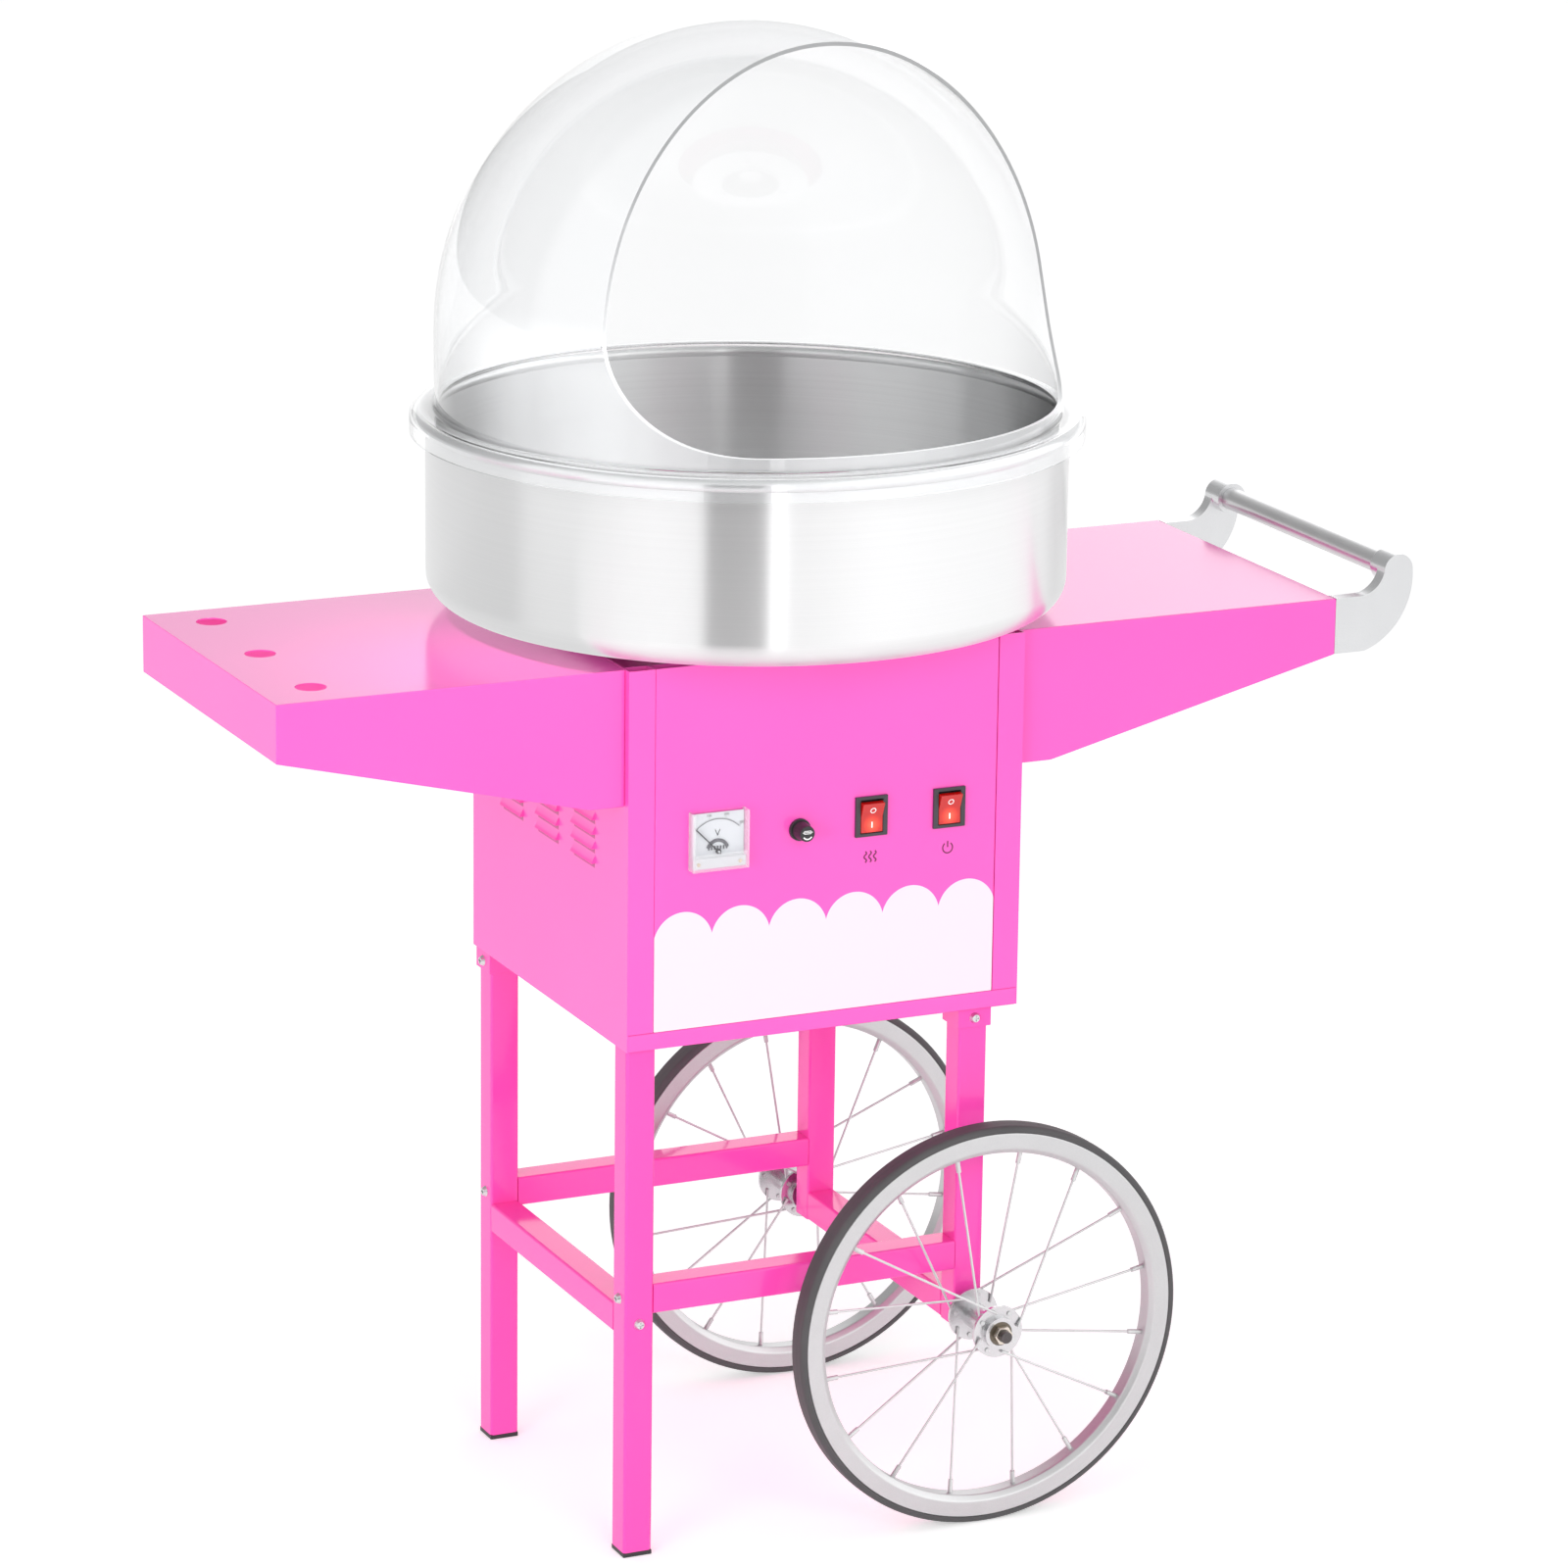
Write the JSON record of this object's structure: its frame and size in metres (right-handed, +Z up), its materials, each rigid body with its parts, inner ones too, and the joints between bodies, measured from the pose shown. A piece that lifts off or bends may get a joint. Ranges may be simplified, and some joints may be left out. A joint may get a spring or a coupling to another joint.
{
  "type": "cotton_candy_cart",
  "caption": "Two-wheeled cotton candy cart: sheet-steel cabinet with side shelves, push handle, steel floss bowl, spinning sugar head and clear dome",
  "frame": {"origin": "on the ground, under the middle of the cart's box", "axes": "+X towards the push handle, +Y to the back, away from the control panel, +Z up"},
  "size_m": [0.998, 0.546, 1.228],
  "materials": {
    "pink_paint": "hot pink powder coat, satin gloss",
    "black_plastic": "black moulded plastic",
    "zinc_steel": "bright zinc-plated steel",
    "brass": "plain brass",
    "tyre_rubber": "dark grey solid rubber",
    "rim_metal": "silver satin alloy",
    "spoke_steel": "plated steel",
    "white_plastic": "white moulded plastic",
    "handle_chrome": "polished plate",
    "soft_rubber": "black soft rubber",
    "motor_paint": "black motor enamel",
    "carbon": "dull black",
    "head_aluminium": "turned alloy",
    "bowl_steel": "brushed stainless steel",
    "clear_plastic": "clear acrylic",
    "red_plastic": "clear red plastic"
  },
  "bodies": {
    "cart": {"front_left_leg": "pink_paint", "rear_left_leg": "pink_paint", "front_right_leg": "pink_paint", "rear_right_leg": "pink_paint", "leg_sockets": "pink_paint", "leg_end_caps": "black_plastic", "front_rail": "pink_paint", "rear_rail": "pink_paint", "left_cross_rail": "pink_paint", "axle_beam": "pink_paint", "frame_screws": "zinc_steel", "axle": "zinc_steel", "axle_nuts": "brass", "cabinet_shell": "pink_paint", "cabinet_floor": "pink_paint", "control_panel": "pink_paint", "top_plate": "pink_paint", "cabinet_screws": "zinc_steel", "cable_gland": "black_plastic", "terminal_block": "white_plastic", "left_shelf": "pink_paint", "right_shelf": "pink_paint", "shelf_bolts": "zinc_steel", "front_handle_bracket": "handle_chrome", "rear_handle_bracket": "handle_chrome", "handle_tube": "handle_chrome", "handle_screws": "zinc_steel", "rubber_buffers": "soft_rubber", "motor_bracket": "zinc_steel", "motor_casing": "motor_paint", "brush_holder": "black_plastic", "carbon_brushes": "carbon", "meter_case": "clear_plastic", "meter_movement": "white_plastic", "fuse_holder": "black_plastic", "heat_switch": "black_plastic", "power_switch": "black_plastic"},
    "front_wheel": {"front_tyre": "tyre_rubber", "front_rim": "rim_metal", "front_spokes": "spoke_steel", "front_hub": "spoke_steel", "front_bearings": "zinc_steel"},
    "rear_wheel": {"rear_tyre": "tyre_rubber", "rear_rim": "rim_metal", "rear_spokes": "spoke_steel", "rear_hub": "spoke_steel", "rear_bearings": "zinc_steel"},
    "spinner": {"motor_shaft": "zinc_steel", "slip_rings": "brass", "head_base": "head_aluminium", "heater_ring": "brass", "head_screen": "bowl_steel", "head_cap": "head_aluminium"},
    "bowl": {"bowl": "bowl_steel"},
    "dome": {"dome": "clear_plastic"},
    "needle": {"meter_needle": "carbon"},
    "fuse_link": {"fuse": "clear_plastic"},
    "fuse_cap": {"fuse_cap": "black_plastic"},
    "heat_rocker": {"heat_rocker": "red_plastic"},
    "power_rocker": {"power_rocker": "red_plastic"}
  },
  "joints": [
    {"name": "front_wheel_spin", "type": "hinge", "parent": "cart", "child": "front_wheel", "pos_m": [0.1015, -0.188, 0.171], "axis": [0, 1, 0], "continuous": true},
    {"name": "rear_wheel_spin", "type": "hinge", "parent": "cart", "child": "rear_wheel", "pos_m": [0.1015, 0.188, 0.171], "axis": [0, 1, 0], "continuous": true},
    {"name": "head_spin", "type": "hinge", "parent": "cart", "child": "spinner", "pos_m": [-0.036, 0, 0.764], "axis": [0, 0, 1], "continuous": true},
    {"name": "bowl_lift", "type": "slide", "parent": "cart", "child": "bowl", "axis": [0, 0, 1], "range_m": [0, 0.15]},
    {"name": "dome_lift", "type": "slide", "parent": "bowl", "child": "dome", "axis": [0, 0, 1], "range_m": [0, 0.2]},
    {"name": "needle_swing", "type": "hinge", "parent": "cart", "child": "needle", "pos_m": [-0.13288, -0.166, 0.5925], "axis": [0, 1, 0], "range_deg": [0, 90], "stiffness_Nm_per_rad": 0.002},
    {"name": "fuse_pull", "type": "slide", "parent": "cart", "child": "fuse_link", "axis": [0, -1, 0], "range_m": [0, 0.03]},
    {"name": "fuse_cap_turn", "type": "hinge", "parent": "fuse_link", "child": "fuse_cap", "pos_m": [-0.06091, -0.162, 0.602], "axis": [0, -1, 0], "range_deg": [-90, 0]},
    {"name": "heat_rocker_tip", "type": "hinge", "parent": "cart", "child": "heat_rocker", "pos_m": [0.00206, -0.162, 0.6065], "axis": [-1, 0, 0], "range_deg": [0, 20]},
    {"name": "power_rocker_tip", "type": "hinge", "parent": "cart", "child": "power_rocker", "pos_m": [0.07126, -0.162, 0.6065], "axis": [-1, 0, 0], "range_deg": [0, 20]}
  ]
}
